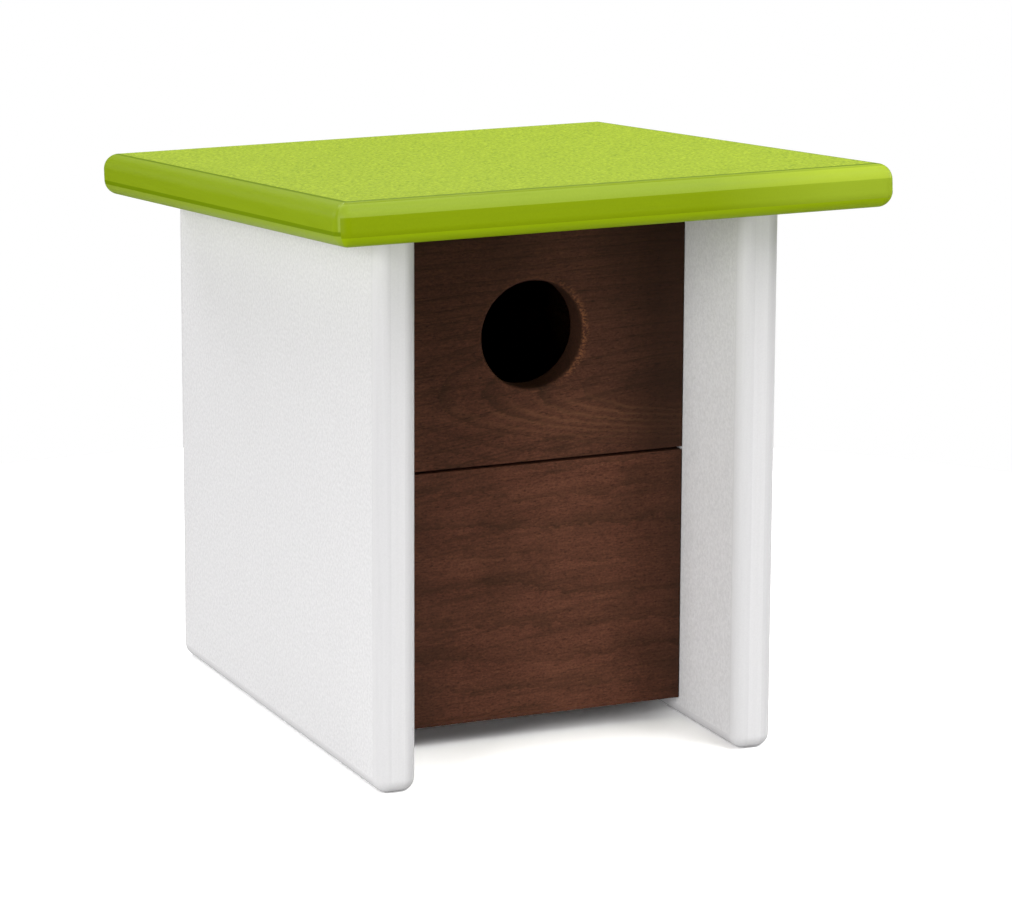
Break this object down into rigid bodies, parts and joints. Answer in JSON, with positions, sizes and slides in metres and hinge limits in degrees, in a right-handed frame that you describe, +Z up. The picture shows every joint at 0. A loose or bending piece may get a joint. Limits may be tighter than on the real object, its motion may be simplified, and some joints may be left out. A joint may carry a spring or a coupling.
{
  "type": "birdhouse",
  "caption": "Modern birdhouse: a sloping slab roof over two side panels, with a set-back front of wood boards, a round entrance hole and a swing-up clean-out door.",
  "frame": {"origin": "bottom centre of the whole object's box, on the surface that the side panels stand on", "axes": "+Z up; -Y is the front with the entrance hole; +X is to the right seen from the front"},
  "size_m": [0.2596, 0.3012, 0.2692],
  "materials": {
    "lime_sheet": "stippled matte top and underside, smoother satin machined edges",
    "white_sheet": "fine stippled matte faces, smooth satin rounded edges",
    "dark_wood": "dark heat-treated boards, planed and unvarnished, grain running across",
    "pale_wood": "plain turned dowel",
    "stainless": "satin stainless steel",
    "rubber": "matte black"
  },
  "bodies": {
    "house": {"floor_board": "dark_wood", "front_upper_board": "dark_wood", "keyhole_hanger_plate": "stainless", "left_back_screw_1": "stainless", "left_back_screw_2": "stainless", "left_back_screw_3": "stainless", "left_back_screw_4": "stainless", "left_cleat_screw_1": "stainless", "left_cleat_screw_2": "stainless", "left_floor_screw_1": "stainless", "left_floor_screw_2": "stainless", "left_front_dowel_1": "pale_wood", "left_front_dowel_2": "pale_wood", "left_hanger_screw": "stainless", "left_lower_wall_board": "dark_wood", "left_lower_wall_screw_1": "stainless", "left_lower_wall_screw_2": "stainless", "left_roof_cleat": "dark_wood", "left_roof_screw_1": "stainless", "left_roof_screw_2": "stainless", "left_side_panel": "white_sheet", "left_upper_wall_board": "dark_wood", "left_upper_wall_screw_1": "stainless", "left_upper_wall_screw_2": "stainless", "lock_pin_ring": "rubber", "lower_back_board": "dark_wood", "right_back_screw_1": "stainless", "right_back_screw_2": "stainless", "right_back_screw_3": "stainless", "right_back_screw_4": "stainless", "right_cleat_screw_1": "stainless", "right_cleat_screw_2": "stainless", "right_floor_screw_1": "stainless", "right_floor_screw_2": "stainless", "right_front_dowel_1": "pale_wood", "right_front_dowel_2": "pale_wood", "right_hanger_screw": "stainless", "right_lower_wall_board": "dark_wood", "right_lower_wall_screw_1": "stainless", "right_lower_wall_screw_2": "stainless", "right_roof_cleat": "dark_wood", "right_roof_screw_1": "stainless", "right_roof_screw_2": "stainless", "right_side_panel": "white_sheet", "right_upper_wall_board": "dark_wood", "right_upper_wall_screw_1": "stainless", "right_upper_wall_screw_2": "stainless", "roof_panel": "lime_sheet", "upper_back_board": "dark_wood"},
    "door": {"clean_out_door": "dark_wood", "left_pivot_pin": "stainless", "right_pivot_pin": "stainless"},
    "lock": {"lock_pin": "stainless", "lock_knob": "stainless"}
  },
  "joints": [
    {"name": "door_swing", "type": "hinge", "parent": "house", "child": "door", "pos_m": [0, -0.04487, 0.10485], "axis": [-1, 0, 0], "range_deg": [0, 145]},
    {"name": "lock_slide", "type": "slide", "parent": "house", "child": "lock", "axis": [-1, 0, 0], "range_m": [0, 0.01]}
  ]
}
